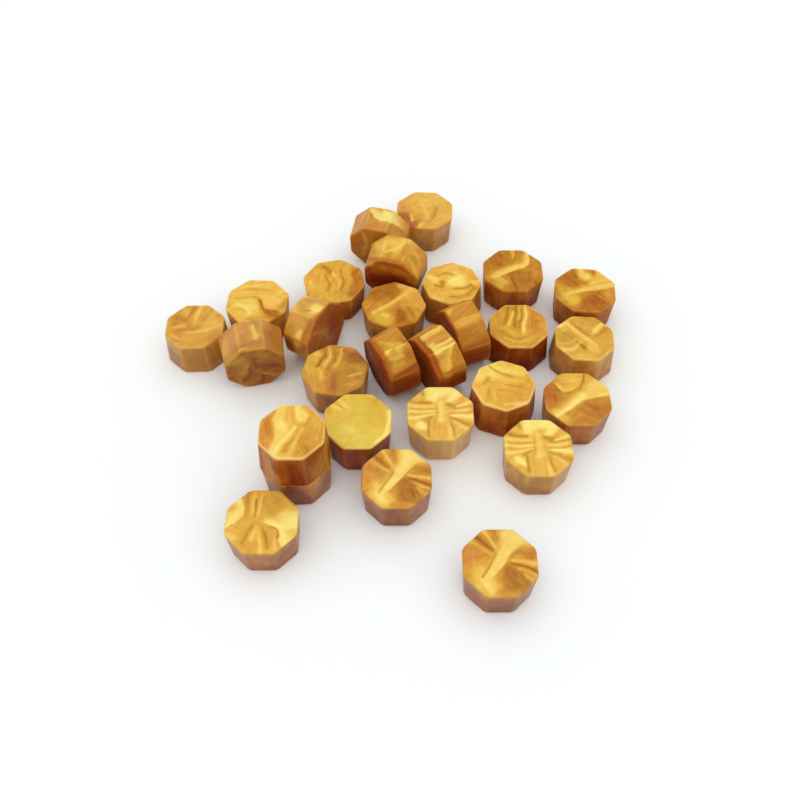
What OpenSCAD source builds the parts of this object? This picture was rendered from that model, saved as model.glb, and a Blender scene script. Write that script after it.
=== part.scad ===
// A loose set of octagonal sealing wax beads as they lie scattered on a table.
// Every bead is one solid casting from the same mould, filled to its own level.
// +Z is up, +Y points away from the viewer, and the origin is on the table, at the middle of the set.

/* [Bead] */
// Width across opposite flats at the wide face
bead_w = 9; // [6:0.1:14]
// Height of a bead poured to the usual level
bead_h = 5.2; // [3.6:0.1:8]
// How far a full pour stands above the usual level, and a short one below it
pour_step = 0.6; // [0:0.1:1]
// Slope of the sides in degrees, which lets a bead leave its mould
draft = 4; // [0:0.5:6]
// Height of the bevel that breaks the sharp rim of both faces
rim_break = 0.3; // [0.1:0.05:0.6]

/* [Layout] */
// Bead heights that one layout step leaves for a bead on edge
edge_room = 1.73; // [1.73:0.01:2]

/* [Hidden] */
flats = 8;
wax = "goldenrod";

// One layout step fits a bead that lies flat and one that stands on edge
layout_step = max(bead_w, edge_room * bead_h);

// How a bead lies: on its narrow face, on its wide face, or on one flat with its wide face along turn
WIDE_UP = "wide face up";
NARROW_UP = "narrow face up";
ON_EDGE = "on edge";

// How full its mould was
SHORT = -1;
USUAL = 0;
FULL = 1;

// Each bead: name, how it lies, column and row in layout steps, turn in degrees, pour,
// and the bead underneath if it doesn't lie on the table
NAME = 0;
LIE = 1;
SPOT = 2;
TURN = 3;
POUR = 4;
UNDER = 5;

beads = [
    ["rear_right_bead", WIDE_UP, [0.54, 3.50], -3, USUAL],
    ["rear_left_upright_bead", ON_EDGE, [-0.26, 2.85], 75, SHORT],
    ["rear_front_upright_bead", ON_EDGE, [0.02, 2.10], 74, USUAL],
    ["back_left_bead", WIDE_UP, [-1.01, 1.78], 12, SHORT],
    ["left_back_bead", WIDE_UP, [-2.24, 1.24], -10, USUAL],
    ["left_end_bead", NARROW_UP, [-3.19, 0.70], 2, USUAL],
    ["left_upright_bead", ON_EDGE, [-2.21, 0.18], 103, USUAL],
    ["inner_left_upright_bead", ON_EDGE, [-1.29, 0.74], -30, SHORT],
    ["back_middle_bead", WIDE_UP, [0.00, 1.17], 20, USUAL],
    ["back_right_bead", NARROW_UP, [0.96, 1.67], 20, USUAL],
    ["right_back_bead", WIDE_UP, [2.01, 1.97], 0, USUAL],
    ["right_end_bead", WIDE_UP, [3.17, 1.51], -5, USUAL],
    ["inner_right_bead", NARROW_UP, [2.00, 0.71], 0, USUAL],
    ["right_side_bead", NARROW_UP, [3.03, 0.45], -4, USUAL],
    ["middle_left_bead", WIDE_UP, [-0.90, -0.21], -12, USUAL],
    ["middle_left_upright_bead", ON_EDGE, [-0.03, 0.01], 28, SHORT],
    ["middle_upright_bead", ON_EDGE, [0.66, 0.06], 32, SHORT],
    ["middle_right_upright_bead", ON_EDGE, [1.11, 0.60], 23, SHORT],
    ["middle_right_bead", NARROW_UP, [1.67, -0.56], 24, FULL],
    ["right_front_bead", WIDE_UP, [2.77, -0.77], 0, USUAL],
    ["centre_bead", WIDE_UP, [0.70, -1.04], 0, USUAL],
    ["front_right_bead", WIDE_UP, [2.10, -1.66], 0, USUAL],
    ["plain_bead", WIDE_UP, [-0.52, -1.23], 0, FULL],
    ["stack_bottom_bead", WIDE_UP, [-1.38, -1.83], 3, USUAL],
    ["stack_top_bead", NARROW_UP, [-1.39, -1.84], 0, FULL, "stack_bottom_bead"],
    ["front_left_bead", WIDE_UP, [-1.78, -2.88], 0, USUAL],
    ["front_middle_bead", WIDE_UP, [0.05, -2.18], 0, USUAL],
    ["front_end_bead", WIDE_UP, [1.42, -3.50], 0, USUAL],
];

// Height of one bead as poured
function pour_h(b) = bead_h + b[POUR] * pour_step;

// Width across flats at the narrow face of a bead of height h
function narrow_w(h) = bead_w - 2 * h * tan(draft);

// Height of what a bead lies on
function seat_z(b) = is_undef(b[UNDER]) ? 0 : pour_h(beads[search([b[UNDER]], beads)[0]]);

// Section through two opposite flats, narrow face at the bottom
module side_section(h) {
    foot = narrow_w(h) / 2;
    head = bead_w / 2;
    lean = rim_break * tan(draft);
    right = [
        [foot - rim_break, 0],
        [foot + lean, rim_break],
        [head - lean, h - rim_break],
        [head - rim_break, h],
    ];
    left = [for (k = [len(right) - 1 : -1 : 0]) [-right[k].x, right[k].y]];
    polygon(concat(right, left));
}

// One bead on its narrow face: the section, swept through and turned to each pair of flats
module bead(h) {
    color(wax)
    intersection_for(pair = [0 : flats / 2 - 1])
        rotate([90, 0, pair * 360 / flats])
        linear_extrude(2 * bead_w, center = true)
        side_section(h);
}

// A bead turned the way it lies, centred over its spot
module lying_bead(b) {
    h = pour_h(b);
    if (b[LIE] == WIDE_UP)
        bead(h);
    if (b[LIE] == NARROW_UP)
        translate([0, 0, h])
        rotate([180, 0, 0])
        bead(h);
    if (b[LIE] == ON_EDGE)
        translate([-h / 2 * cos(draft), 0, narrow_w(h) / 2 * cos(draft)])
        rotate([0, 90 - draft, 0])
        bead(h);
}

// A bead at its place in the set
module placed_bead(b) {
    translate([b[SPOT].x * layout_step, b[SPOT].y * layout_step, seat_z(b)])
    rotate([0, 0, b[TURN]])
    lying_bead(b);
}

for (b = beads)
    placed_bead(b);
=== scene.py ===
import bpy
import bmesh
import math
import numpy as np
from mathutils import Matrix, Vector, noise


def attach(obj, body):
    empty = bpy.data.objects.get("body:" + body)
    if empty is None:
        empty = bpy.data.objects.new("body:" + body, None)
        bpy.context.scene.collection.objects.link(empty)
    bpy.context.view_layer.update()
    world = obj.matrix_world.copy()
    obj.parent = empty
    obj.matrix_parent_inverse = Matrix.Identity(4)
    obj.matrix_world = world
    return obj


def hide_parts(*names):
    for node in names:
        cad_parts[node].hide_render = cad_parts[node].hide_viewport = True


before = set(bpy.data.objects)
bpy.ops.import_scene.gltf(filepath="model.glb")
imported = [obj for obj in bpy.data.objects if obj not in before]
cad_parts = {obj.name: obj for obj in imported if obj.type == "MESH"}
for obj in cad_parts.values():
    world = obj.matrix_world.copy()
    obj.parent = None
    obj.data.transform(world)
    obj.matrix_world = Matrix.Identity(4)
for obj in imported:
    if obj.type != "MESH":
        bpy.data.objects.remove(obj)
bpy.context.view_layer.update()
scene = bpy.context.scene
mm = 0.001
print("loaded", len(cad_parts), "beads")


def putInScene(name, data):
    item = bpy.data.objects.new(name, data)
    scene.collection.objects.link(item)
    return item


# Camera, at the viewing angle of the picture
cameraView = {
    "focalPixels": 900,
    "framePixels": 800,
    "sensorMm": 36,
    "elevation": 52.3,
    "distance": 128 * mm,
    "lookAt": (0.9 * mm, -3.24 * mm, 0),
    "clip": (5 * mm, 10),
}


def placeCamera(look):
    data = bpy.data.cameras.new("setCamera")
    data.sensor_width = look["sensorMm"]
    data.lens = look["sensorMm"] * look["focalPixels"] / look["framePixels"]
    data.clip_start, data.clip_end = look["clip"]
    camera = putInScene("setCamera", data)
    tilt = math.radians(look["elevation"])
    away = Vector((0, -math.cos(tilt), math.sin(tilt)))
    camera.location = Vector(look["lookAt"]) + look["distance"] * away
    camera.rotation_euler = (math.pi / 2 - tilt, 0, 0)
    scene.camera = camera


placeCamera(cameraView)
scene.view_settings.view_transform = "Standard"
print("camera placed")


def feed(tree, socket, value):
    # an output socket is linked, and anything else is set
    if isinstance(value, bpy.types.NodeSocket):
        tree.links.new(value, socket)
    else:
        socket.default_value = value


def addNode(tree, kind, settings=(), **values):
    # a node with its settings and inputs; an input goes by its name, or by i and its number
    node = tree.nodes.new("ShaderNode" + kind)
    for key, value in dict(settings).items():
        setattr(node, key, value)
    for key, value in values.items():
        feed(tree, node.inputs[int(key[1:]) if key[1:].isdigit() else key], value)
    return node


def placeGroup(tree, group, **values):
    return addNode(tree, "Group", {"node_tree": group}, **values).outputs


def doMath(tree, operation, a, b=0.0, c=0.0):
    return addNode(tree, "Math", {"operation": operation}, i0=a, i1=b, i2=c).outputs[0]


def mapRange(tree, value, start, end):
    # a value that runs over start made to run over end
    ends = dict(zip(("From Min", "From Max", "To Min", "To Max"), (*start, *end)))
    return addNode(tree, "MapRange", Value=value, **ends).outputs["Result"]


def mixColour(tree, share, a, b):
    return addNode(tree, "Mix", {"data_type": "RGBA"}, i0=share, i6=a, i7=b).outputs[2]


# Studio: one broad soft lamp overhead and the glow of a white room
studio = {
    "keyTilt": (4, -2),       # degrees towards the viewer and the left
    "keySpread": 140,
    "keyLight": 1.15,
    "roomLight": 0.60,
    "floorSize": 1.2,
    "floorCells": 4,
    "floorTone": (0.5, 0.5, 0.5, 1),          # what the floor throws back onto the beads
    "floorWhite": (1.035, 1.075, 1.075, 1),   # what is seen of it
}


def seenDirectly(tree):
    # 1 for the rays that should meet plain white
    path = addNode(tree, "LightPath").outputs
    seen = doMath(tree, "MAXIMUM", path["Is Camera Ray"], path["Is Glossy Ray"])
    return doMath(tree, "MAXIMUM", seen, path["Is Transmission Ray"])


def lightStudio(look):
    data = bpy.data.lights.new("keyLamp", "SUN")
    data.angle = math.radians(look["keySpread"])
    data.energy = look["keyLight"]
    lamp = putInScene("keyLamp", data)
    lamp.rotation_euler = (*(math.radians(tilt) for tilt in look["keyTilt"]), 0)
    world = bpy.data.worlds.new("whiteRoom")
    scene.world = world
    world.use_nodes = True
    tree = world.node_tree
    glow = tree.nodes["Background"].inputs
    glow["Color"].default_value = (1, 1, 1, 1)
    feed(tree, glow["Strength"], mapRange(tree, seenDirectly(tree), (0, 1), (look["roomLight"], 1)))


def layFloor(look):
    cells = look["floorCells"]
    bm = bmesh.new()
    bmesh.ops.create_grid(bm, x_segments=cells, y_segments=cells, size=look["floorSize"])
    mesh = bpy.data.meshes.new("tableTop")
    bm.to_mesh(mesh)
    bm.free()
    floor = putInScene("tableTop", mesh)
    paint = bpy.data.materials.new("whiteTable")
    paint.use_nodes = True
    tree = paint.node_tree
    tree.nodes.clear()
    tone = mixColour(tree, seenDirectly(tree), look["floorTone"], look["floorWhite"])
    matt = addNode(tree, "BsdfDiffuse", Color=tone)
    addNode(tree, "OutputMaterial", Surface=matt.outputs[0])
    floor.data.materials.append(paint)


lightStudio(studio)
layFloor(studio)
print("studio lit")

# What every bead shares
flatTurn = 45                # degrees from one flat to the next
touch = 1e-7
micron = 1e-6
casting = {
    "halfWidth": 4.5 * mm,
    "cells": 100,            # cells across a face
    "cornerRound": 1.2 * mm,
    "cornerCuts": (-16, -6, 6, 16),
    "sliver": 0.02 * mm,     # edges shorter than this are dropped
    "weld": 0.002 * mm,
    "rimSteps": 5,
    "sideSteps": 18,
    "dish": 0.03 * mm,       # how far a face sinks as it cools
    "relief": 0.13 * mm,     # height of a full fold
    "reliefEdge": 0.16,      # share of a face's reach over which its folds start
    "sideWave": 0.05 * mm,
    "waveEdge": 0.6 * mm,    # how far from a face the waves start
    "rimFade": 0.45 * mm,    # how far a face's look runs down over its rim
    "hiddenFade": 0.3,       # share of that for a face that lies hidden
    "rim": 0.08,             # usual painted highlight on the rim
}
# Cosines between directions
planeTests = {"same": 0.995, "upright": 0.7, "side": 0.2}


def groupPlanes(mesh):
    # area and direction of each flat plane of a node
    planes = []
    for face in mesh.polygons:
        for plane in planes:
            if plane["normal"].dot(face.normal) > planeTests["same"]:
                plane["area"] += face.area
                break
        else:
            planes.append({"normal": face.normal.copy(), "area": face.area})
    return sorted(planes, key=lambda plane: -plane["area"])


def readBead(node):
    # a bead's own axes: z to the wide face, y up or away from the viewer
    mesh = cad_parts[node].data
    planes = groupPlanes(mesh)
    z = planes[0]["normal"].normalized()
    upright = abs(z.z) < planeTests["upright"]
    up = Vector((0, 0, 1)) if upright else Vector((0, 1, 0))
    right = up.cross(z)
    flats = [plane["normal"] for plane in planes if abs(plane["normal"].dot(z)) < planeTests["side"]]
    x = max(flats, key=lambda normal: normal.dot(right))
    x = (x - x.dot(z) * z).normalized()
    turn = Matrix((x, z.cross(x), z)).transposed()
    spots = [turn.transposed() @ vert.co for vert in mesh.vertices]
    low = min(spot.z for spot in spots)
    middle = sum(spots, Vector()) / len(spots)
    # heights and half widths of both faces and of the edges where their rims start
    levels = sorted({round(spot.z - low, 6) for spot in spots})
    reach = []
    for level in levels:
        reach.append(max(spot.x - middle.x for spot in spots if abs(spot.z - low - level) < micron))
    place = turn.to_4x4()
    place.translation = turn @ Vector((middle.x, middle.y, low))
    return {"place": place, "levels": levels, "reach": reach}


def beadProfile(levels, reach):
    # reach and height from the wide face down to the narrow one
    quarter = [math.pi / 2 * k / casting["rimSteps"] for k in range(1, casting["rimSteps"] + 1)]
    profile = []
    for angle in quarter:
        profile.append((reach[3] + (reach[2] - reach[3]) * math.sin(angle),
                        levels[2] + (levels[3] - levels[2]) * math.cos(angle)))
    for k in range(1, casting["sideSteps"] + 1):
        share = k / casting["sideSteps"]
        profile.append((reach[2] + (reach[1] - reach[2]) * share,
                        levels[2] + (levels[1] - levels[2]) * share))
    for angle in quarter:
        profile.append((reach[0] + (reach[1] - reach[0]) * math.cos(angle),
                        levels[1] - (levels[1] - levels[0]) * math.sin(angle)))
    return profile


def cutOctagon(bm, reach):
    # the corners come off a square, and each new corner is eased
    corner = casting["cornerRound"]
    cuts = [(flatTurn * (2 * k + 1), reach) for k in range(4)]
    tip = (reach - corner) / math.cos(math.pi / 8)
    for k in range(8):
        for ease in casting["cornerCuts"]:
            cuts.append((flatTurn * (k + 0.5) + ease, corner + tip * math.cos(math.radians(ease))))
    for turn, distance in cuts:
        away = Vector((math.cos(math.radians(turn)), math.sin(math.radians(turn)), 0))
        bmesh.ops.bisect_plane(bm, geom=bm.verts[:] + bm.edges[:] + bm.faces[:], dist=touch,
                               plane_co=away * distance, plane_no=away, clear_outer=True)
    bmesh.ops.dissolve_degenerate(bm, edges=bm.edges[:], dist=casting["sliver"])


def only(parts, kind):
    return [part for part in parts if isinstance(part, kind)]


def moveRing(bm, verts, size, rise):
    bmesh.ops.scale(bm, verts=verts, vec=(size, size, 1))
    bmesh.ops.translate(bm, verts=verts, vec=(0, 0, rise))


def castBead(levels, reach):
    cells = casting["cells"]
    bm = bmesh.new()
    bmesh.ops.create_grid(bm, x_segments=cells, y_segments=cells, size=reach[3])
    cutOctagon(bm, reach[3])
    bmesh.ops.translate(bm, verts=bm.verts[:], vec=(0, 0, levels[3]))
    wideFace = bm.faces[:]
    ring = [edge for edge in bm.edges if edge.is_boundary]
    lastReach, lastHeight = reach[3], levels[3]
    for nextReach, nextHeight in beadProfile(levels, reach):
        made = bmesh.ops.extrude_edge_only(bm, edges=ring)["geom"]
        ring = only(made, bmesh.types.BMEdge)
        moveRing(bm, only(made, bmesh.types.BMVert), nextReach / lastReach, nextHeight - lastHeight)
        lastReach, lastHeight = nextReach, nextHeight
    # the narrow face is a smaller copy of the wide one
    copied = bmesh.ops.duplicate(bm, geom=wideFace)["geom"]
    moveRing(bm, only(copied, bmesh.types.BMVert), reach[0] / reach[3], levels[0] - levels[3])
    bmesh.ops.reverse_faces(bm, faces=only(copied, bmesh.types.BMFace))
    bmesh.ops.remove_doubles(bm, verts=bm.verts[:], dist=casting["weld"])
    bmesh.ops.recalc_face_normals(bm, faces=bm.faces[:])
    for face in bm.faces:
        face.smooth = True
    mesh = bpy.data.meshes.new("castBead")
    bm.to_mesh(mesh)
    bm.free()
    return mesh


castings = {}


def castingFor(bead):
    key = round(bead["levels"][3] / mm, 2)
    if key not in castings:
        castings[key] = castBead(bead["levels"], bead["reach"])
        print("cast a bead", key, "mm high with", len(castings[key].polygons), "faces")
    return castings[key].copy()


# How the mica settled in each bead. Places on a face are in half bead widths, right and up as seen.
# shows: the face that is seen. face and flats: how bright and how red the wax is there; on beads in crowded
# spots the flats are set darker and redder, in part painted shade.
# gloss: how much the bead mirrors the table. rim: painted highlight on the rim. pleats: strength of thin
# pleats.
# A fold, all in percent: its brightness and redness, softness left and right of its line, and the line's
# points. It widens from the first point to the last.
# A ripple: how strong, how wide, which way it runs and how much it bends.
# A band is a fold on the flats, its points in degrees around the bead and percent of its height.
fanBar = {        # two beads share it
    "face": (0.70, 0.05),
    "folds": [
        (72, 30, 30, 30, (3, -45), (3, -95)),
        (76, 30, 12, 12, (-80, 64), (-62, 70)),
        (98, -25, 24, 26, (-25, 55), (-20, 85)),
        (98, -20, 20, 20, (10, 75), (25, 90)),
        (96, -20, 12, 14, (28, 45), (45, 68)),
        (68, 25, 10, 10, (50, 35), (80, 65)),
        (52, -30, 6, 6, (-50, 66), (-56, 80)),
        (46, 5, 5, 8, (-30, 36), (-60, 36), (-90, 44)),
        (86, 5, 3, 9, (-10, 20), (-50, 20), (-98, 24)),
        (56, 0, 2, 5, (-18, 12), (-60, 10), (-88, 13)),
        (94, 0, 4, 7, (-10, 5), (-55, 0), (-96, 2)),
        (58, -10, 2, 5, (-22, -4), (-55, -10), (-85, -8)),
        (92, 5, 4, 8, (-22, -8), (-60, -20), (-92, -24)),
        (50, -30, 5, 6, (-25, -14), (-45, -30), (-72, -40)),
        (100, -20, 12, 12, (-46, -56), (-60, -46)),
        (48, -35, 5, 3, (-36, -30), (-38, -85)),
        (48, -30, 7, 10, (24, 34), (50, 26)),
        (90, 5, 4, 7, (50, 26), (80, 38), (98, 48)),
        (54, 5, 3, 5, (40, 18), (70, 22), (95, 28)),
        (84, 25, 5, 5, (30, 8), (60, 10), (80, 14)),
        (56, -10, 2, 5, (32, 0), (65, -2), (92, 6)),
        (98, -15, 5, 10, (38, -8), (70, -10), (98, -14)),
        (52, 0, 6, 8, (32, -16), (60, -30), (85, -46)),
        (84, 25, 5, 7, (42, -32), (78, -62)),
        (50, 5, 4, 4, (30, -28), (36, -85)),
        (84, 15, 6, 6, (20, -50), (28, -95)),
        (88, 5, 9, 9, (3, 45), (5, -25)),
        (62, 5, 3, 3, (-10, 30), (-14, -10), (-20, -60)),
    ],
}
barRays = {       # and two share this
    "face": (0.58, 0.25),
    "folds": [
        (50, 40, 35, 35, (-75, 30), (-25, 55)),
        (60, 100, 16, 18, (-80, 45), (-85, 12)),
        (80, 25, 5, 6, (-10, 40), (-30, 75), (-42, 98)),
        (36, 35, 4, 5, (-16, 30), (-62, 72)),
        (68, 40, 5, 5, (-22, 22), (-80, 62)),
        (40, 25, 5, 5, (0, 55), (-12, 98)),
        (76, -20, 24, 24, (-55, -25), (-45, -70)),
        (94, -10, 11, 11, (-50, -50), (-25, -80)),
        (80, -20, 6, 6, (-25, -50), (-15, -70)),
        (38, 20, 28, 28, (22, -25), (42, -60)),
        (46, 55, 15, 15, (60, 32), (85, 28)),
        (80, 45, 4, 6, (32, 8), (95, -4)),
        (36, 30, 3, 5, (30, -2), (70, -14), (95, -28)),
        (70, 30, 3, 4, (45, -18), (92, -38)),
        (42, 20, 3, 5, (35, -22), (60, -50), (60, -72)),
        (66, 30, 5, 5, (60, -35), (82, -55)),
        (56, 40, 12, 12, (-10, -90), (35, -95)),
        (86, 20, 20, 20, (20, 85), (50, 85)),
        (80, -5, 20, 12, (40, 70), (80, 68)),
        (86, 10, 30, 3, (-22, -40), (10, -2), (36, 32), (60, 56), (90, 62)),
        (90, 5, 16, 10, (-40, -50), (-5, 2), (20, 40), (30, 75)),
        (52, -30, 5, 3, (-48, -45), (-28, -12), (-10, 22)),
    ],
}
softSwirl = {     # every face that lies hidden
    "face": (0.54, 0.25),
    "folds": [
        (40, 40, 35, 35, (-50, 55), (-5, 70)),
        (40, 40, 30, 30, (20, -45), (55, -35)),
        (66, -20, 20, 20, (-60, -30), (-40, -55)),
        (68, 20, 8, 3, (35, -10), (70, 5), (90, 30)),
        (82, 5, 18, 4, (-70, -35), (-10, 0), (35, 30), (60, 85)),
        (46, 20, 4, 4, (-30, 30), (10, 45), (20, 85)),
    ],
    "ripple": (0.05, 0.22, 30, 0.3),
}
darkFace = {      # the uprights in the middle; their faces are set darker and redder, partly painted shade, as they stand in the crowd
    "face": (0.26, 0.80), "pleats": 0.04,
    "folds": [(34, 70, 15, 15, (-50, 40), (10, -30))],
}
beads = {}
beads["rear_right_bead"] = {
    "shows": "wide", "flats": (0.48, 0.45), "gloss": 0.55, "face": (0.66, 0.12),
    "folds": [
        (72, 10, 30, 30, (-30, 70), (30, 60)),
        (62, 60, 15, 15, (-85, 30), (-70, 5)),
        # painted shade where the upright beside it overlaps the lower left, dark and red
        (36, 65, 36, 36, (-75, -35), (-55, -80)),
        (78, 10, 5, 6, (-48, -25), (-40, -55)),
        (60, 0, 15, 15, (20, -60), (10, -90)),
        (54, 5, 6, 8, (35, 25), (42, -10), (15, -60)),
        (78, 5, 8, 8, (-10, 35), (5, -5), (10, -40)),
        (76, 20, 6, 6, (-12, -95), (-5, -70)),
    ],
}
beads["rear_left_upright_bead"] = {
    "shows": "narrow", "flats": (0.46, 0.62), "gloss": 0.3, "face": (0.48, 0.55), "pleats": 0.04,
    "folds": [
        (60, 30, 10, 4, (-50, 70), (-35, 10), (-50, -40)),
        (42, 50, 15, 15, (5, 50), (10, -40)),
    ],
    "bands": [
        (46, 65, 20, 20, (70, 15), (85, 8)),
        (42, 55, 25, 25, (140, 85), (150, 60)),
        (92, -30, 45, 5, (74, 70), (92, 48), (118, 52)),
        (98, -35, 12, 12, (96, 85), (104, 72)),
        (50, 40, 10, 5, (62, 90), (71, 40)),
    ],
}
beads["rear_front_upright_bead"] = {
    "shows": "narrow", "flats": (0.48, 0.42), "face": (0.36, 0.70), "pleats": 0.04,
    "folds": [
        (46, 55, 14, 20, (-60, 62), (20, 55), (70, 20)),
        (12, 95, 40, 40, (-50, -10), (10, -30)),
    ],
    "bands": [
        (78, -10, 30, 30, (80, 75), (100, 65)),
        (84, 0, 12, 4, (72, 35), (95, 50), (103, 85)),
        (50, 45, 10, 10, (112, 75), (110, 40)),
        (74, 0, 8, 3, (126, 70), (140, 62)),
        (46, -10, 8, 4, (124, 50), (138, 42)),
        (72, 10, 7, 3, (130, 30), (145, 18)),
        (80, 5, 25, 25, (40, 80), (60, 60)),
        (38, 70, 3, 30, (22, 42), (45, 25), (68, 6)),
        (36, 60, 3, 14, (68, 10), (112, 12)),
    ],
}
beads["back_left_bead"] = {
    "shows": "wide", "flats": (0.36, 0.95), "rim": 0.20, "face": (0.65, 0.18),
    "folds": [
        (62, -15, 20, 20, (-50, 75), (-20, 70)),
        (46, 60, 22, 22, (85, 30), (80, -45)),
        (42, 10, 12, 12, (60, -45), (50, -75)),
        (68, 100, 10, 10, (-72, 50), (-62, 36)),
        (46, 75, 5, 12, (-20, 78), (-6, 52)),
        (74, -50, 10, 10, (-80, 15), (-76, -10)),
        (50, 20, 3, 7, (-25, 40), (-15, 0), (-25, -35)),
        (76, 10, 8, 3, (2, 40), (14, 0), (8, -40)),
        (50, 20, 3, 7, (30, 50), (32, 0), (20, -50)),
        (70, 10, 8, 4, (-45, 0), (-50, -40)),
        (66, 15, 5, 3, (50, 45), (55, 0)),
    ],
    "ripple": (0.05, 0.24, 70, 0.3),
}
beads["left_back_bead"] = {
    "shows": "wide", "flats": (0.56, 0.60), "face": (0.75, 0.08),
    "folds": [
        (80, 12, 25, 25, (-70, 55), (50, 70)),
        (86, 8, 20, 20, (-55, -15), (-15, -20)),
        (84, 5, 20, 20, (20, 15), (65, -5)),
        (60, 30, 15, 15, (-10, -75), (30, -80)),
        (66, 20, 3, 6, (-85, 45), (-30, 55), (40, 50)),
        (60, 10, 3, 5, (-80, 12), (-20, 20), (5, 5)),
        (66, 10, 3, 3, (-60, -30), (-20, -50)),
        (90, -5, 6, 6, (-30, -25), (-15, -55)),
        (62, 50, 10, 10, (95, 20), (85, -20)),
        (42, 55, 15, 15, (40, -45), (62, -55)),
        (40, 35, 3, 10, (8, 4), (22, -25), (42, -40)),
    ],
}
beads["left_end_bead"] = {
    "shows": "narrow", "flats": (0.46, 0.40), "gloss": 0.55, "rim": 0.18,
    "face": (0.60, 0.38), "pleats": 0.07,
    "folds": [
        (48, 45, 25, 25, (-60, 35), (-45, 15)),
        (66, 30, 20, 20, (30, 0), (65, 10)),
        (52, 30, 22, 22, (20, -50), (70, -40)),
        (70, 35, 10, 10, (-40, 80), (-25, 60)),
        (48, 30, 4, 8, (-30, 30), (-15, 55), (-5, 90)),
        (74, 10, 9, 3, (2, 20), (10, 50), (22, 90)),
        (48, 20, 3, 6, (22, 25), (40, 50), (50, 75)),
        (68, 5, 8, 3, (40, 30), (62, 60)),
        (50, -10, 5, 8, (70, 40), (80, 62)),
        (70, 45, 8, 6, (-70, -5), (-35, 2)),
        (50, 35, 3, 8, (-55, -12), (-15, -8), (15, 2)),
        (72, 20, 3, 6, (-20, -24), (10, -20), (50, -8), (80, 5)),
        (56, 20, 2, 5, (-15, -34), (25, -32), (60, -20)),
        (72, 45, 6, 5, (-75, -35), (-45, -60)),
        (54, 35, 4, 10, (-45, -62), (15, -68), (50, -60)),
    ],
}
beads["left_upright_bead"] = {
    "shows": "narrow", "flats": (0.39, 0.58), "gloss": 0.5, "face": (0.38, 0.38),
    "folds": [
        (50, -10, 15, 15, (-75, 45), (-50, 60)),
        (48, -10, 15, 15, (-25, 25), (-35, -10)),
        (48, 40, 12, 12, (-60, -40), (-40, -70)),
        (26, 30, 8, 12, (0, 50), (4, 20), (30, 5), (65, 0)),
        (28, 35, 5, 10, (-10, 15), (-16, -20), (-35, -55)),
        (46, 10, 14, 10, (20, 85), (30, 60)),
        (28, 30, 6, 6, (22, -35), (14, -75)),
        (50, 20, 5, 5, (20, -30), (50, -50)),
    ],
    "bands": [
        (56, 75, 35, 35, (75, 75), (60, 60)),
        (50, 30, 15, 15, (105, 95), (118, 85)),
        (62, 15, 20, 20, (38, 70), (30, 45)),
        (32, 50, 25, 25, (130, 60), (140, 30)),
        (72, -15, 8, 16, (98, 80), (101, 45)),
        (50, -40, 8, 5, (107, 72), (109, 45)),
        (36, 25, 3, 35, (60, 26), (88, 28), (118, 34)),
        (60, 35, 4, 4, (68, 12), (90, 6), (112, 5)),
    ],
}
beads["inner_left_upright_bead"] = {
    "shows": "wide", "flats": (0.56, 0.45), "gloss": 0.3, "face": (0.38, 0.60), "pleats": 0.04,
    "folds": [
        (48, 40, 12, 4, (-60, 50), (-10, 10), (10, -40)),
        (30, 70, 25, 25, (30, 40), (50, -10)),
    ],
    "bands": [
        (62, 45, 20, 20, (125, 55), (122, 25)),
        (34, 70, 3, 30, (158, 72), (135, 76), (115, 84)),
        (92, -30, 10, 10, (141, 62), (152, 56)),
        (92, -15, 22, 22, (88, 95), (92, 72)),
        (48, 20, 5, 10, (100, 62), (104, 48)),
        (78, 35, 8, 8, (108, 20), (104, 5)),
        (80, 20, 8, 8, (70, 12), (76, 2)),
        (40, 60, 12, 12, (165, 85), (178, 70)),
        (24, 70, 30, 30, (190, 25), (180, 15)),
        (78, 0, 12, 12, (168, 60), (172, 50)),
    ],
}
beads["back_middle_bead"] = {
    "shows": "wide", "flats": (0.42, 0.65), "face": (0.55, 0.30),
    "folds": [
        (40, 40, 40, 40, (-45, 65), (-5, 75)),
        (66, 45, 35, 35, (65, 45), (80, 0)),
        (78, 30, 12, 12, (45, 75), (70, 60)),
        (64, -35, 20, 20, (-65, -30), (-45, -55)),
        (82, -30, 7, 7, (-52, -28), (-40, -40)),
        (56, 10, 20, 20, (55, -45), (60, -70)),
        (38, 40, 20, 20, (10, -35), (0, -85)),
        (45, 30, 4, 4, (35, -25), (45, -70)),
        (80, 10, 5, 14, (-75, -10), (-15, 8), (25, 24), (60, 42), (90, 62)),
        (50, 50, 12, 12, (-50, -95), (0, -100)),
    ],
}
beads["back_right_bead"] = {
    "shows": "narrow", "flats": (0.42, 0.65), "rim": 0.18, "face": (0.68, 0.12),
    "folds": [
        (80, 25, 14, 14, (0, 68), (40, 58)),
        (84, -30, 18, 18, (-60, 50), (-42, 30)),
        (68, 50, 16, 16, (55, 45), (62, 15)),
        (92, -20, 24, 24, (-2, 2), (20, 6)),
        (52, 20, 4, 7, (-32, 46), (-5, 52), (20, 40)),
        (52, 10, 8, 5, (-55, 5), (-35, -10), (-25, 12)),
        (50, 20, 3, 10, (-5, -24), (35, -34), (75, -18)),
        (76, 5, 5, 5, (-65, -30), (-10, -42), (30, -52)),
        (50, 25, 4, 10, (-30, -55), (20, -66), (60, -46)),
        (80, 20, 10, 10, (62, -16), (80, -28)),
        (82, 15, 8, 8, (-80, -42), (-65, -60)),
    ],
}
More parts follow.
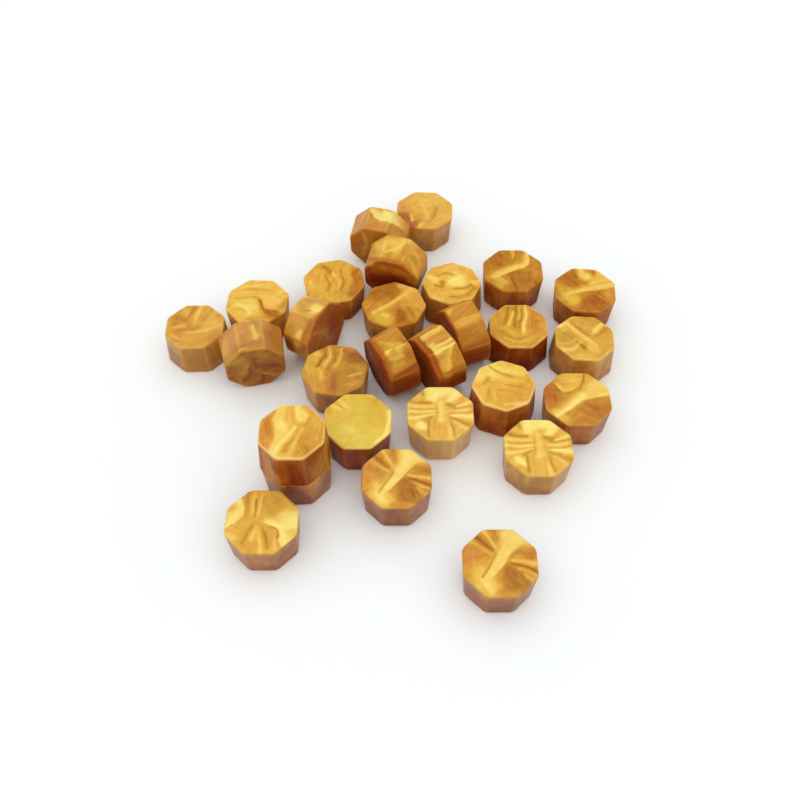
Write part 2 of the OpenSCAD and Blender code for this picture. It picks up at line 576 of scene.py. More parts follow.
beads["right_back_bead"] = {
    "shows": "wide", "flats": (0.34, 0.95), "face": (0.46, 0.25),
    "folds": [
        (40, 40, 40, 40, (-55, 65), (-50, 20)),
        (36, 55, 18, 18, (-50, 25), (-35, 5)),
        (40, 25, 40, 40, (40, -30), (50, -65)),
        (42, 60, 10, 10, (45, -25), (40, -40)),
        (50, 40, 20, 20, (85, 30), (85, -10)),
        (62, -30, 20, 20, (-65, -35), (-40, -55)),
        (46, 30, 10, 10, (-30, -80), (10, -90)),
        (35, 30, 4, 4, (-5, -35), (5, -95)),
        (64, -10, 7, 7, (2, 98), (8, 65)),
        (40, 10, 4, 6, (16, 95), (10, 50), (-15, 20)),
        (84, 10, 3, 20, (62, 98), (56, 45), (35, 18), (0, 0), (-45, -28)),
    ],
}
beads["right_end_bead"] = {
    "shows": "wide", "flats": (0.34, 0.85), "rim": 0.16, "face": (0.48, 0.30),
    "folds": [
        (40, 80, 30, 30, (-75, 60), (-50, 40)),
        (36, 50, 40, 40, (40, -30), (30, -65)),
        (42, 80, 16, 16, (10, -68), (30, -85)),
        (56, -25, 25, 25, (-75, 5), (-55, -30)),
        (70, -35, 15, 15, (-60, -45), (-40, -52)),
        (56, 60, 14, 14, (78, 10), (80, -15)),
        (62, 100, 5, 8, (80, 18), (78, -15)),
        (50, 40, 4, 4, (30, -12), (60, -40), (85, -55)),
        (80, 15, 22, 20, (25, 34), (60, 56), (85, 66)),
        (80, 10, 20, 3, (-60, -30), (-5, -6), (40, 6), (95, 24)),
        (80, 30, 10, 10, (40, 90), (50, 75)),
        (34, 15, 6, 8, (-42, 95), (-25, 60), (2, 36), (16, 52), (24, 75)),
        (86, -5, 16, 14, (-16, 92), (-6, 68), (8, 60)),
    ],
}
beads["inner_right_bead"] = {
    "shows": "narrow", "flats": (0.11, 1.00), "rim": 0.38, "face": (0.56, 0.15),
    "folds": [
        (60, 20, 20, 20, (-60, 60), (-55, 20)),
        (56, 60, 12, 12, (-85, -10), (-75, -40)),
        (52, 80, 13, 13, (50, 60), (48, -10)),
        (42, -10, 6, 6, (-30, 75), (-38, 35), (-45, 10)),
        (80, 10, 5, 5, (-15, 60), (-25, 25), (-32, 5)),
        (42, -20, 5, 5, (0, 85), (-8, 45), (-12, 0)),
        (66, 0, 4, 4, (8, 80), (2, 30)),
        (44, -20, 4, 4, (14, 70), (8, 20), (2, -10)),
        (66, 10, 6, 6, (-45, -5), (-15, -35), (20, -40)),
        (46, -10, 5, 6, (-60, -20), (-25, -52), (20, -55)),
        (66, 10, 6, 6, (-50, -50), (0, -68), (40, -50)),
        (88, 5, 7, 4, (30, 95), (26, 45), (18, 0), (12, -25)),
    ],
}
beads["right_side_bead"] = {
    "shows": "narrow", "flats": (0.46, 0.60), "gloss": 0.45, "rim": 0.26, "face": (0.61, 0.05),
    "folds": [
        (52, -35, 30, 30, (-75, 5), (-45, -20)),
        (56, 0, 20, 20, (0, 85), (30, 75)),
        (64, 25, 20, 20, (65, 0), (60, -30)),
        (70, 10, 12, 12, (-30, -75), (10, -80)),
        (48, 10, 5, 5, (70, 40), (40, 10)),
        (90, -10, 10, 6, (62, 62), (30, 30)),
        (98, -40, 12, 12, (-98, 48), (-80, 52)),
        (80, -30, 8, 8, (-75, 80), (-60, 60)),
        (66, -10, 5, 5, (-25, -10), (-50, -30), (-80, -30)),
        (80, 0, 6, 6, (-10, -22), (-40, -50), (-75, -55)),
        (40, 10, 6, 6, (-12, -30), (-2, -45)),
        (46, 0, 5, 4, (-45, 65), (-10, 28), (12, 10)),
        (84, 0, 4, 9, (-70, 84), (-35, 39), (0, 4), (35, -36)),
        (78, 10, 8, 8, (10, -40), (35, -62)),
    ],
}
beads["middle_left_bead"] = {
    "shows": "wide", "flats": (0.42, 0.50), "gloss": 0.5, "face": (0.50, 0.20),
    "folds": [
        (36, 35, 35, 35, (40, 65), (75, 45)),
        (64, -5, 25, 25, (-80, 50), (-60, -10)),
        (80, -10, 8, 8, (-80, 72), (-68, 50)),
        (56, 40, 20, 20, (-45, -60), (-20, -90)),
        (42, 35, 12, 12, (5, -20), (15, -90)),
        (55, 20, 12, 12, (50, -45), (70, -35)),
        (52, -40, 14, 14, (45, 25), (80, 20)),
        (64, -10, 5, 5, (45, -20), (80, 0)),
        (42, 10, 3, 5, (-55, 85), (-45, 45), (-55, 0)),
        (72, 0, 5, 5, (-40, 85), (-28, 45), (-35, 5)),
        (42, 15, 3, 5, (-20, 80), (-10, 40), (-20, -5)),
        (68, 10, 4, 5, (-2, 85), (5, 55), (-5, 15)),
        (78, 5, 5, 6, (-42, -15), (-30, -42)),
    ],
}
beads["middle_left_upright_bead"] = {
    "shows": "narrow", "flats": (0.36, 0.52), **darkFace,
    "bands": [
        # painted shade: a dark red sheet on the flat at 180 degrees, in the shade between the beads
        (12, 95, 50, 50, (180, 80), (180, 20)),
        (50, 55, 40, 40, (72, 80), (80, 40)),
        (60, -30, 15, 15, (102, 75), (98, 50)),
        (62, -25, 25, 12, (116, 60), (124, 45)),
        (82, 20, 6, 4, (106, 92), (108, 60)),
        (90, 15, 8, 5, (104, 42), (106, 27)),
        (66, 15, 4, 8, (78, 30), (98, 55)),
        (72, -15, 5, 5, (123, 68), (121, 30)),
        (44, -20, 5, 4, (129, 70), (131, 42)),
        (52, 50, 8, 8, (141, 42), (143, 26)),
        (20, 80, 3, 30, (152, 10), (149, 60), (146, 95)),
        (30, 45, 3, 25, (62, 17), (90, 18), (116, 16), (150, 12)),
    ],
}
beads["middle_upright_bead"] = {
    "shows": "narrow", "flats": (0.46, 0.42), **darkFace,
    "bands": [
        # painted shade: a dark red sheet on the flat at 180 degrees, in the shade between the beads
        (16, 95, 50, 50, (180, 80), (180, 20)),
        (82, 10, 15, 15, (72, 90), (70, 30)),
        (60, 80, 14, 14, (90, 85), (87, 45)),
        (80, -10, 10, 10, (95, 40), (98, 28)),
        (90, -5, 10, 6, (103, 95), (104, 30)),
        (46, 35, 25, 3, (120, 88), (132, 70), (145, 58)),
        (72, 0, 3, 30, (118, 82), (132, 62), (150, 52)),
        (94, -5, 5, 7, (114, 92), (115, 30)),
        (30, 60, 5, 15, (154, 30), (154, 90)),
        (22, 65, 3, 25, (62, 20), (90, 19), (118, 20), (152, 18)),
    ],
}
beads["middle_right_upright_bead"] = {
    "shows": "narrow", "flats": (0.40, 0.62), **darkFace,
    "bands": [
        # painted shade: a dark red sheet on the flat at 180 degrees, in the shade between the beads
        (18, 95, 50, 50, (180, 80), (180, 20)),
        (52, 60, 30, 30, (72, 75), (78, 50)),
        (68, 30, 12, 5, (103, 95), (100, 60), (102, 20)),
        (74, 25, 3, 5, (108, 95), (109, 30)),
        (70, 20, 10, 10, (68, 28), (74, 15)),
        (40, 40, 30, 30, (130, 60), (135, 30)),
        (52, 30, 4, 4, (124, 85), (130, 55)),
        (34, 20, 4, 6, (138, 45), (134, 22)),
        (28, 60, 5, 20, (154, 20), (152, 90)),
        (30, 50, 3, 15, (62, 6), (118, 8)),
    ],
}
beads["middle_right_bead"] = {
    "shows": "narrow", "flats": (0.28, 0.90), "rim": 0.40, "face": (0.72, 0.12), "pleats": 0.08,
    "folds": [
        (88, -20, 28, 24, (-78, -5), (-72, 25), (-45, 35)),
        (86, -5, 14, 14, (-5, 55), (30, 62)),
        (66, 40, 25, 25, (65, 30), (60, -20)),
        (66, 15, 25, 25, (-20, -60), (30, -65)),
        (56, 5, 3, 6, (-65, 55), (-25, 42), (15, 40)),
        (80, 10, 5, 5, (-45, 12), (0, 20), (50, 30)),
        (56, 10, 8, 4, (-60, -20), (-50, 2)),
        (60, 25, 2, 6, (5, 2), (45, 10), (85, 16)),
        (60, 25, 2, 6, (0, -20), (45, -14), (85, -8)),
        (62, 25, 2, 6, (15, -40), (50, -36), (80, -28)),
        (82, 15, 3, 5, (-20, -35), (-5, -62)),
        (56, 5, 4, 4, (-40, -30), (-30, -60)),
        (88, 40, 6, 6, (25, -75), (80, -45)),
    ],
}
beads["right_front_bead"] = {
    "shows": "wide", "flats": (0.32, 0.85), "gloss": 0.4, "rim": 0.16, "face": (0.49, 0.25),
    "folds": [
        (42, 55, 40, 40, (35, -35), (65, -60)),
        (48, 75, 20, 20, (15, -75), (35, -90)),
        (42, 75, 25, 25, (-90, 40), (-80, 0)),
        (36, 50, 8, 8, (-65, 55), (-55, 35)),
        (66, -30, 12, 12, (-70, -45), (-50, -75)),
        (68, 5, 30, 30, (-30, 78), (5, 75)),
        (74, 10, 25, 3, (-58, 45), (-38, 25), (-10, 36), (10, 55)),
        (42, -10, 3, 8, (-40, 20), (-5, 28), (8, 40)),
        (42, 10, 4, 4, (34, 95), (24, 60), (10, 35)),
        (88, 5, 25, 25, (45, 40), (75, 55)),
        (86, 0, 24, 3, (-60, -62), (-20, -30), (15, -5), (95, 16)),
        (95, -10, 7, 5, (-55, -50), (-10, -14), (20, 10)),
    ],
}
beads["centre_bead"] = {
    "shows": "wide", "flats": (0.66, 0.25), "gloss": 0.8, **fanBar,
}
beads["front_right_bead"] = {
    "shows": "wide", "flats": (0.46, 0.35), "gloss": 0.5, **fanBar,
}
beads["plain_bead"] = {
    "shows": "wide", "flats": (0.17, 1.00), "gloss": 0.25, "rim": 0.22,
    "face": (0.71, -0.70), "pleats": 0.02,
    "folds": [
        (66, -35, 30, 30, (50, 60), (65, 10)),
        (75, -90, 40, 40, (-50, -45), (0, -60)),
        (84, -60, 10, 10, (-30, -30), (-20, -35)),
        (62, -30, 8, 8, (-85, 25), (-88, 50)),
        (90, 10, 5, 5, (-50, 42), (-90, 62)),
        (62, -10, 3, 3, (-35, 40), (-75, 72)),
        (86, 10, 4, 6, (-30, 45), (-66, 85)),
        (78, 30, 5, 5, (-95, 20), (-92, -25)),
        (92, -40, 5, 5, (50, -78), (80, -48), (93, -10), (92, 30)),
    ],
}
beads["stack_bottom_bead"] = {
    "shows": "neither", "flats": (0.33, 0.65), "gloss": 0.5,
    "bands": [(12, 90, 30, 30, (262, 90), (274, 30))],
}
beads["stack_top_bead"] = {
    "shows": "narrow", "flats": (0.16, 0.90), "gloss": 0.2, "rim": 0.42, "face": (0.57, 0.32),
    "folds": [
        (58, 75, 22, 22, (-75, 50), (-70, -10), (-55, -45)),
        (50, 70, 10, 10, (-70, 30), (-65, 0)),
        (62, 35, 25, 25, (75, 45), (65, -30)),
        (52, 30, 24, 24, (15, -40), (35, -65)),
        (84, 2, 40, 4, (-38, 95), (-50, 40), (-42, 2), (-48, -55)),
        (92, -10, 14, 14, (-36, 32), (-25, 10)),
        (90, -5, 18, 12, (10, 85), (25, 50)),
        (74, 10, 3, 8, (-8, 90), (-8, 45), (-2, 5), (-30, -45)),
        (90, 5, 6, 10, (10, 15), (-15, -25), (-45, -70)),
        (58, 25, 18, 4, (46, 50), (26, -5), (-15, -52)),
        (78, 20, 6, 5, (30, 10), (10, -45), (-2, -80)),
        (56, 35, 4, 4, (55, 20), (30, -50)),
    ],
    "bands": [
        (36, 30, 40, 40, (180, 20), (218, 80)),
        (44, 50, 35, 35, (318, 20), (312, 80)),
        (6, 100, 25, 25, (268, 30), (262, 90)),
    ],
}
beads["front_left_bead"] = {
    "shows": "wide", "flats": (0.22, 0.50), "gloss": 0.5, "face": (0.66, 0.20),
    "folds": [
        (60, 25, 35, 35, (30, 75), (45, 50)),
        (60, 20, 30, 30, (-55, -25), (-15, -55)),
        (46, 10, 4, 4, (-25, -10), (-48, -62)),
        (80, 10, 5, 6, (-12, -15), (-22, -55)),
        (46, 10, 4, 4, (2, -15), (20, -78)),
        (82, -5, 5, 5, (-8, -30), (2, -92)),
        (80, 20, 4, 4, (36, -45), (42, -82)),
        (68, 35, 12, 12, (-90, -12), (-72, -22)),
        (82, 5, 8, 8, (-92, -34), (-76, -50)),
        (72, -30, 12, 12, (-85, 72), (-65, 92)),
        (95, -12, 3, 24, (-66, 70), (-56, 42), (-58, 18), (-74, -2)),
        (54, 10, 6, 5, (-47, 85), (-42, 20)),
        (78, -15, 5, 5, (-29, 95), (-27, 30)),
        (46, -15, 3, 3, (-20, 65), (-18, 20)),
        (84, 15, 4, 4, (-4, 80), (-10, 25)),
        (56, 15, 3, 3, (5, 70), (2, 10)),
        (86, -15, 26, 26, (62, 22), (82, 5)),
        (98, -20, 28, 4, (42, -26), (50, -52), (62, -72)),
        (96, -20, 26, 3, (20, -8), (45, -17), (60, -22), (95, -10)),
        (46, 15, 3, 3, (22, -14), (42, -24), (44, -50)),
    ],
}
beads["front_middle_bead"] = {
    "shows": "wide", "flats": (0.23, 0.65), "gloss": 0.5, **barRays, "face": (0.52, 0.25),
}
beads["front_end_bead"] = {
    "shows": "wide", "flats": (0.25, 0.70), "gloss": 0.5, **barRays,
}

# How the mica drifts on every face
flow = {
    "warp": 2.2,             # how fine the three drifts are
    "cloud": 1.1,
    "crisp": 5.0,
    "bend": 0.06,            # how far the folds wander with them
    "fray": 0.012,           # how rough their edges are
    "widen": (0.65, 0.7),    # width of a fold at its first point and what it gains to its last
    "edge": 4,               # how sharply it ends
    "pitches": (3.3, 6.1, 10.7),
    "pleats": 0.10,          # usual strength of the thin pleats along the folds
    "cloudTone": 0.06,
    "crispTone": 0.05,
    "deepBelow": 0.6,        # wax darker than this is shaded and reddened further
    "deepShade": 0.3,
    "deepBlush": 0.7,
    "darkest": 0.02,
    "seedStep": 3.7,         # sets the beads' drifts apart
}
# How it runs down the flats: each noise's size and what it adds to brightness and redness
sides = {
    "slow": (0.35, 0.20, 0.25),
    "fine": (0.95, 0.08, -0.20),
    "runs": (1.5, 0.35, 0.09),   # sizes across and along the flats
    "foot": (0.12, -0.2),    # painted shade: darker and redder at the foot, paler towards the top
    "tall": 1.4,             # height of a bead in flat widths
    "wander": 0.05,
    "pleats": 0.10,
    "corner": (0.10, 2.5),   # painted highlight along a corner, and how many degrees wide
    "wave": 0.45,
}


def smoothLine(points, steps=6):
    # a line that passes smoothly through the points
    ends = [points[0], *points, points[-1]]
    line = []
    for k in range(len(points) - 1):
        a, b, c, d = (Vector(point) for point in ends[k:k + 4])
        for step in range(steps):
            t = step / steps
            line.append(0.5 * (2 * b + (c - a) * t + (2 * a - 5 * b + 4 * c - d) * t ** 2
                               + (3 * b - a - 3 * c + d) * t ** 3))
    line.append(Vector(points[-1]))
    return line


def foldShape(u, v, left, right, line):
    # how much of a fold is here, and how far across it
    nearest = np.full(u.shape, np.inf)
    side = np.zeros(u.shape)
    done = np.zeros(u.shape)
    for k, (a, b) in enumerate(zip(line, line[1:])):
        along = b - a
        share = np.clip(((u - a.x) * along.x + (v - a.y) * along.y) / along.length_squared, 0, 1)
        du = u - a.x - share * along.x
        dv = v - a.y - share * along.y
        away = np.hypot(du, dv)
        closer = away < nearest
        nearest = np.where(closer, away, nearest)
        side = np.where(closer, along.x * dv - along.y * du, side)
        done = np.where(closer, (k + share) / (len(line) - 1), done)
    first, gain = flow["widen"]
    softness = np.where(side > 0, left, right) * (first + gain * done)
    run = (line[-1] - line[0]).normalized()
    across = (v - line[0].y) * run.x - (u - line[0].x) * run.y
    return 1 / (1 + (nearest / softness) ** flow["edge"]), across


def thinPleats(across, seed):
    # each rises slowly and breaks off sharply
    total = np.zeros(across.shape)
    for k, pitch in enumerate(flow["pitches"]):
        total += ((pitch * across + 0.37 * seed + 0.61 * k) % 1 - 0.5) / (1 + 0.5 * k)
    return total


def layFolds(folds, placeOf, u, v, wax, seed, spread=1, shift=0):
    # each fold lies over the ones before it and turns the pleats its own way
    mica, blush, pleats = wax
    for k, (bright, redder, left, right, *points) in enumerate(folds):
        line = smoothLine([placeOf(*point) for point in points])
        cover, across = foldShape(u, v, left / 100, right / 100, line)
        mica += cover * (bright / 100 - mica)
        blush += cover * (redder / 100 - blush)
        pleats += cover * (thinPleats(across * spread + shift, seed + k) - pleats)


def inRange(mica, blush):
    return np.clip(mica, flow["darkest"], 1), np.clip(blush, -1, 1)


def drift(u, v, size, seed):
    return np.array([noise.noise((size * a, size * b, seed)) for a, b in zip(u, v)])


def blotches(spots, size, shift):
    return np.array([noise.noise(size * spot + Vector(shift)) for spot in spots])


def faceLook(look, u, v, seed):
    # brightness and redness of the wax over a face
    warp = drift(u, v, flow["warp"], seed)
    cloud = drift(u, v, flow["cloud"], seed + 40)
    crisp = drift(u, v, flow["crisp"], seed + 80)
    mica, blush = (np.full(u.shape, value) for value in look["face"])
    pleats = thinPleats(0.6 * u - 0.8 * v + 0.08 * warp, seed)
    if "ripple" in look:
        lift, width, turn, bend = look["ripple"]
        turn = math.radians(turn)
        across = -u * math.sin(turn) + v * math.cos(turn) + bend * 0.5 * (warp + u * v)
        mica += lift * (2 * ((across / width) % 1) - 1)
    bentU = u + flow["bend"] * warp + flow["fray"] * crisp
    bentV = v + flow["bend"] * cloud + flow["fray"] * crisp
    layFolds(look["folds"], lambda right, up: (right / 100, up / 100), bentU, bentV, (mica, blush, pleats),
             seed, 1 + 0.25 * cloud, 0.03 * warp)
    strength = look.get("pleats", flow["pleats"]) * np.clip(0.7 + 0.9 * warp, 0.2, 1.3)
    mica += flow["cloudTone"] * cloud + flow["crispTone"] * crisp + strength * pleats
    deep = np.clip(flow["deepBelow"] - mica, 0, 1)
    mica -= flow["deepShade"] * deep
    blush += 0.12 * warp - 0.15 * crisp + flow["deepBlush"] * deep
    return inRange(mica, blush)


def flatLook(look, turn, share, tall, spots, seed):
    # the same over the eight flats: soft blotches that run down the mould, a painted highlight along the
    # corners and painted shade towards the foot
    level, redness = look["flats"]
    slowSize, slowTone, slowBlush = sides["slow"]
    fineSize, fineTone, fineBlush = sides["fine"]
    runSize, runLong, runTone = sides["runs"]
    footShade, footShadeRed = sides["foot"]
    cornerHighlight, cornerWidth = sides["corner"]
    slow = blotches(spots, slowSize, (seed, 0, 0))
    fine = blotches(spots, fineSize, (0, seed, 0))
    runs = np.array([noise.noise((runSize * spot.x, runSize * spot.y, runLong * spot.z + seed))
                     for spot in spots])
    # the foot term is painted shade: darker and redder low on the bead, paler high up
    mica = level + slowTone * slow + fineTone * fine + runTone * runs + footShade * (tall - 0.5)
    blush = redness + fineBlush * fine + slowBlush * slow + footShadeRed * (tall - 0.5)
    pleats = np.zeros(turn.shape)
    around = turn / flatTurn + sides["wander"] * fine
    up = sides["tall"] * share + sides["wander"] * runs
    layFolds(look.get("bands", ()), lambda where, height: (where / flatTurn, sides["tall"] * (height / 100)),
             around, up, (mica, blush, pleats), seed)
    # a painted highlight along each corner between the flats
    fromCorner = turn % flatTurn - flatTurn / 2
    mica += sides["pleats"] * pleats + cornerHighlight * np.exp(-(fromCorner / cornerWidth) ** 2)
    return inRange(mica, blush)


def settleMica(look, bead, spots, onFlats, around, seed):
    # brightness and redness of the wax at each spot, and how much the spot belongs to the flats
    x, y, z = spots.T
    top = bead["levels"][3]
    mica, blush, flat = (np.zeros(len(spots)) for k in range(3))
    turn = np.degrees(np.arctan2(y, x)) % 360
    # height over the table, which sets the painted shade at the foot of the flats
    tall = np.array([(bead["place"] @ Vector(spot)).z for spot in spots[onFlats]])
    tall = (tall - tall.min()) / (tall.max() - tall.min())
    mica[onFlats], blush[onFlats] = flatLook(look, turn[onFlats], z[onFlats] / top, tall, around, seed)
    flat[onFlats] = 1
    # a face's look runs over its rim and fades into the flats
    for name, near, side in (("wide", top - z, 1), ("narrow", z, -1)):
        seen = look["shows"] == name
        face = look if seen else softSwirl
        near = near / (casting["rimFade"] * (1 if seen else casting["hiddenFade"]))
        on = near < 1
        near = near[on]
        share = 1 - near ** 2
        spin = 0 if seen else seed       # a face that lies hidden is turned its own way
        u = (side * x[on] * math.cos(spin) - y[on] * math.sin(spin)) / casting["halfWidth"]
        v = (side * x[on] * math.sin(spin) + y[on] * math.cos(spin)) / casting["halfWidth"]
        bright, redder = faceLook(face, u, v, seed)
        # the rim's lift is a painted highlight, paler and peachier
        lift = face.get("rim", casting["rim"]) * np.clip(6 * near * (1 - near), 0, 1)
        mica[on] += share * (bright - mica[on]) + lift
        blush[on] += share * (redder - blush[on]) + lift
        flat[on] *= near ** 2
    return mica, blush, flat


def pourWax(mesh, bead, look, seed):
    # settle the mica into the mesh and raise the folds it makes
    spots = np.empty(len(mesh.vertices) * 3)
    mesh.vertices.foreach_get("co", spots)
    spots = spots.reshape(-1, 3)
    x, y, z = spots.T
    levels, reach = bead["levels"], bead["reach"]
    turns = np.radians(np.arange(8) * flatTurn)
    outward = np.max(np.outer(x, np.cos(turns)) + np.outer(y, np.sin(turns)), axis=1)
    onWide = z > levels[3] - touch
    onNarrow = z < levels[0] + touch
    onFlats = ~(onWide | onNarrow)
    around = [Vector(spot) / mm for spot in spots[onFlats]]
    mica, blush, flat = settleMica(look, bead, spots, onFlats, around, seed)
    # folds sink from the rim plane, so that a face stays inside its casting
    for on, size, sign in ((onWide, reach[3], -1), (onNarrow, reach[0], 1)):
        inside = np.clip((1 - outward[on] / size) / casting["reliefEdge"], 0, 1)
        inside = inside * inside * (3 - 2 * inside)
        depth = casting["dish"] + casting["relief"] * (1 - np.clip(mica[on], 0, 1))
        spots[on, 2] += sign * inside * depth
    wave = blotches(around, sides["wave"], (0, 0, seed))
    edge = np.minimum(z[onFlats] - levels[0], levels[3] - z[onFlats]) / casting["waveEdge"]
    inward = casting["sideWave"] * (0.5 + 0.5 * wave) * np.clip(edge, 0, 1) / outward[onFlats]
    spots[onFlats, 0] *= 1 - inward
    spots[onFlats, 1] *= 1 - inward
    mesh.vertices.foreach_set("co", spots.ravel())
    for name, values in (("mica", mica), ("blush", blush), ("flat", flat)):
        layer = mesh.attributes.new(name, "FLOAT", "POINT")
        layer.data.foreach_set("value", values.astype(np.float32))
    mesh.update()


def newGroup(name, inputs, outputs):
    # a shader group and what it is given; its inputs are name: (kind, value)
    group = bpy.data.node_groups.new(name, "ShaderNodeTree")
    for label, (kind, value) in inputs.items():
        socket = group.interface.new_socket(label, in_out="INPUT", socket_type="NodeSocket" + kind)
        if value is not None:
            socket.default_value = value
    for label, kind in outputs.items():
        group.interface.new_socket(label, in_out="OUTPUT", socket_type="NodeSocket" + kind)
    group.nodes.new("NodeGroupInput")
    group.nodes.new("NodeGroupOutput")
    return group, group.nodes["Group Input"].outputs


def closeGroup(group, **results):
    for label, socket in results.items():
        group.links.new(socket, group.nodes["Group Output"].inputs[label])
    return group


def colourRamp(tree, value, colours):
    ramp = addNode(tree, "ValToRGB", Fac=value)
    marks = ramp.color_ramp.elements
    while len(marks) < len(colours):
        marks.new(1)
    for k, colour in enumerate(colours):
        marks[k].position = k / (len(colours) - 1)
        marks[k].color = (*colour, 1)
    return ramp.outputs["Color"]


# Colours of the wax, in even steps from the mica's shaded side to its bright side
waxTones = {
    "yellow": [(0.15, 0.08, 0.008), (0.33, 0.20, 0.018), (0.56, 0.37, 0.036),
               (0.80, 0.59, 0.075), (0.98, 0.86, 0.27)],
    "gold": [(0.17, 0.048, 0.004), (0.36, 0.148, 0.010), (0.60, 0.305, 0.028),
             (0.84, 0.49, 0.062), (0.98, 0.77, 0.20)],
    "orange": [(0.20, 0.018, 0.002), (0.38, 0.074, 0.006), (0.60, 0.21, 0.024),
               (0.82, 0.38, 0.080), (0.95, 0.60, 0.24)],
}


def buildTone():
    # colour of the wax from how the mica lies; Blush leans to orange above 0 and to yellow below
    inputs = {"Mica": ("Float", 0.5), "Blush": ("Float", 0.2)}
    group, given = newGroup("pearlTone", inputs, {"Color": "Color"})
    tones = {name: colourRamp(group, given["Mica"], colours) for name, colours in waxTones.items()}
    redder = addNode(group, "Clamp", Value=given["Blush"]).outputs[0]
    yellower = addNode(group, "Clamp", Value=doMath(group, "MULTIPLY", given["Blush"], -1.0)).outputs[0]
    wax = mixColour(group, redder, tones["gold"], tones["orange"])
    return closeGroup(group, Color=mixColour(group, yellower, wax, tones["yellow"]))


def buildShimmer():
    # fine silky streaks and single flakes of mica
    inputs = {"Vector": ("Vector", None), "Streaks": ("Float", 1.0), "Flakes": ("Float", 1.0)}
    group, given = newGroup("micaShimmer", inputs, {"Streak": "Float", "Flake": "Float"})
    bend = addNode(group, "TexNoise", Vector=given["Vector"], Scale=0.7, Detail=2.0)
    shift = addNode(group, "VectorMath", {"operation": "MULTIPLY_ADD"}, i0=bend.outputs["Color"],
                    i1=(1.6, 1.6, 1.6), i2=given["Vector"])
    stretch = addNode(group, "Mapping", Vector=shift.outputs[0], Rotation=(0, 0, 0.6), Scale=(0.8, 4.5, 2.5))
    silk = addNode(group, "TexNoise", Vector=stretch.outputs[0], Scale=1.6, Detail=5.0, Roughness=0.6)
    centred = doMath(group, "SUBTRACT", silk.outputs["Fac"], 0.5)
    cells = addNode(group, "TexVoronoi", Vector=given["Vector"], Scale=14.0)
    pick = addNode(group, "SeparateColor", Color=cells.outputs["Color"])
    rare = mapRange(group, pick.outputs["Red"], (0.80, 1.0), (0.0, 1.0))
    return closeGroup(group, Streak=doMath(group, "MULTIPLY", centred, given["Streaks"]),
                      Flake=doMath(group, "MULTIPLY", rare, given["Flakes"]))


def buildSkin():
    # the cast skin: soft waviness, tiny pits and finger marks in the gloss
    inputs = {"Vector": ("Vector", None), "Roughness": ("Float", 0.38)}
    group, given = newGroup("waxSkin", inputs, {"Roughness": "Float", "Height": "Float"})
    soft = addNode(group, "TexNoise", Vector=given["Vector"], Scale=0.9, Detail=3.0).outputs["Fac"]
    grain = addNode(group, "TexNoise", Vector=given["Vector"], Scale=9.0, Detail=3.0, Roughness=0.65)
    pits = addNode(group, "TexVoronoi", Vector=given["Vector"], Scale=2.4)
    hole = mapRange(group, pits.outputs["Distance"], (0.0, 0.12), (-1.0, 0.0))
    marks = mapRange(group, soft, (0.3, 0.7), (-0.06, 0.08))
    height = doMath(group, "MULTIPLY_ADD", grain.outputs["Fac"], 0.6, soft)
    return closeGroup(group, Roughness=doMath(group, "ADD", given["Roughness"], marks),
                      Height=doMath(group, "MULTIPLY_ADD", hole, 0.5, height))


toneGroup, shimmerGroup, skinGroup = buildTone(), buildShimmer(), buildSkin()
print("wax groups built")

# Finish of the wax
waxFinish = {
    "streaks": 0.08,
    "flakes": 0.10,
    "roughness": 0.40,
    "metal": 0.15,           # how metallic bright mica is on a face
    "metalLoss": 0.8,        # and how much of that the flats lose
    "relief": 1.5,           # bump of the mica against that of the skin
    "bump": (0.35, 0.05 * mm),
    "gloss": 0.08,           # usual gloss
    "mirror": (0.05, 0.4),   # specular level without gloss, and what full gloss adds
    "shader": {
        "IOR": 1.45,
        "Coat Roughness": 0.35,
        "Subsurface Weight": 0.12,
        "Subsurface Radius": (1.0, 0.35, 0.12),
        "Subsurface Scale": 1.2 * mm,
    },
}


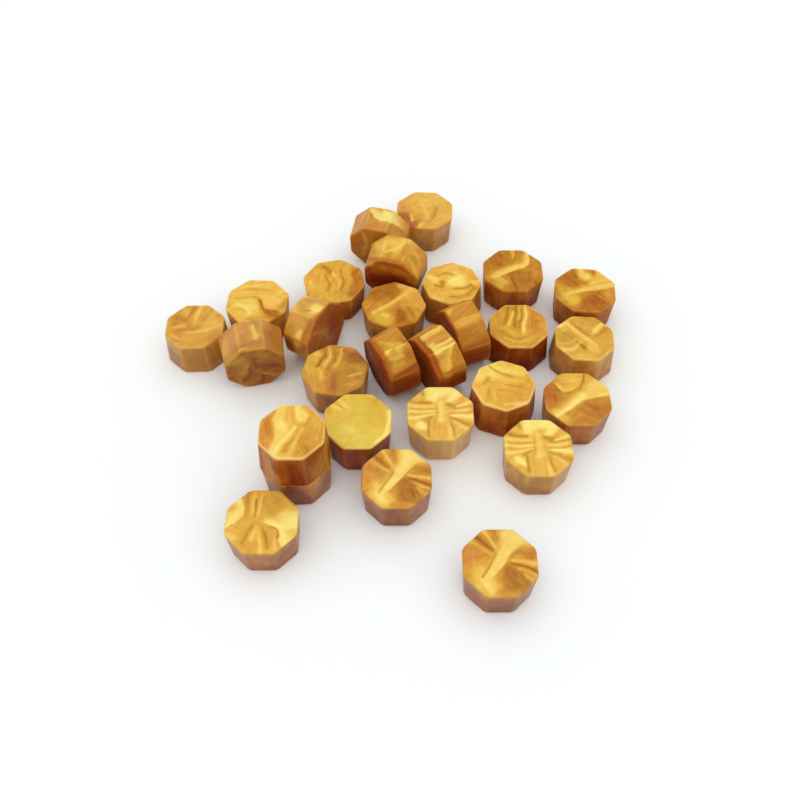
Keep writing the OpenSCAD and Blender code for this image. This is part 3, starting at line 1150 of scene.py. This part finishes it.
def waxFor(name, place, gloss):
    paint = bpy.data.materials.new(name)
    paint.use_nodes = True
    tree = paint.node_tree
    wax = tree.nodes["Principled BSDF"].inputs
    where = addNode(tree, "TexCoord").outputs["Object"]
    local = addNode(tree, "Mapping", {"vector_type": "TEXTURE"}, Vector=where, Location=place.translation[:],
                    Rotation=place.to_euler()[:], Scale=(mm, mm, mm)).outputs[0]
    mica, blush, flat = (addNode(tree, "Attribute", {"attribute_name": label}).outputs["Fac"]
                         for label in ("mica", "blush", "flat"))
    shimmer = placeGroup(tree, shimmerGroup, Vector=local, Streaks=waxFinish["streaks"],
                         Flakes=waxFinish["flakes"])
    skin = placeGroup(tree, skinGroup, Vector=local, Roughness=waxFinish["roughness"])
    bright = doMath(tree, "ADD", mica, shimmer["Streak"])
    bright = doMath(tree, "ADD", bright, shimmer["Flake"])
    onFace = doMath(tree, "MULTIPLY_ADD", flat, -waxFinish["metalLoss"], 1.0)
    metal = doMath(tree, "MULTIPLY", doMath(tree, "MULTIPLY", bright, onFace), waxFinish["metal"])
    height = doMath(tree, "MULTIPLY_ADD", bright, waxFinish["relief"], skin["Height"])
    strength, distance = waxFinish["bump"]
    bump = addNode(tree, "Bump", Height=height, Strength=strength, Distance=distance)
    feed(tree, wax["Base Color"], placeGroup(tree, toneGroup, Mica=bright, Blush=blush)["Color"])
    feed(tree, wax["Metallic"], metal)
    feed(tree, wax["Coat Weight"], doMath(tree, "MULTIPLY", flat, gloss))
    feed(tree, wax["Roughness"], skin["Roughness"])
    feed(tree, wax["Normal"], bump.outputs["Normal"])
    plain, full = waxFinish["mirror"]
    wax["Specular IOR Level"].default_value = plain + full * gloss
    for label, value in waxFinish["shader"].items():
        wax[label].default_value = value
    return paint


for number, (node, look) in enumerate(beads.items()):
    bead = readBead(node)
    mesh = castingFor(bead)
    pourWax(mesh, bead, look, flow["seedStep"] * number)
    mesh.transform(bead["place"])
    mesh.name = node + "_wax"
    piece = putInScene(node + "_wax", mesh)
    mesh.materials.append(waxFor(node + "_wax", bead["place"], look.get("gloss", waxFinish["gloss"])))
    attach(piece, node)
    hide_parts(node)
print("poured", len(beads), "beads")
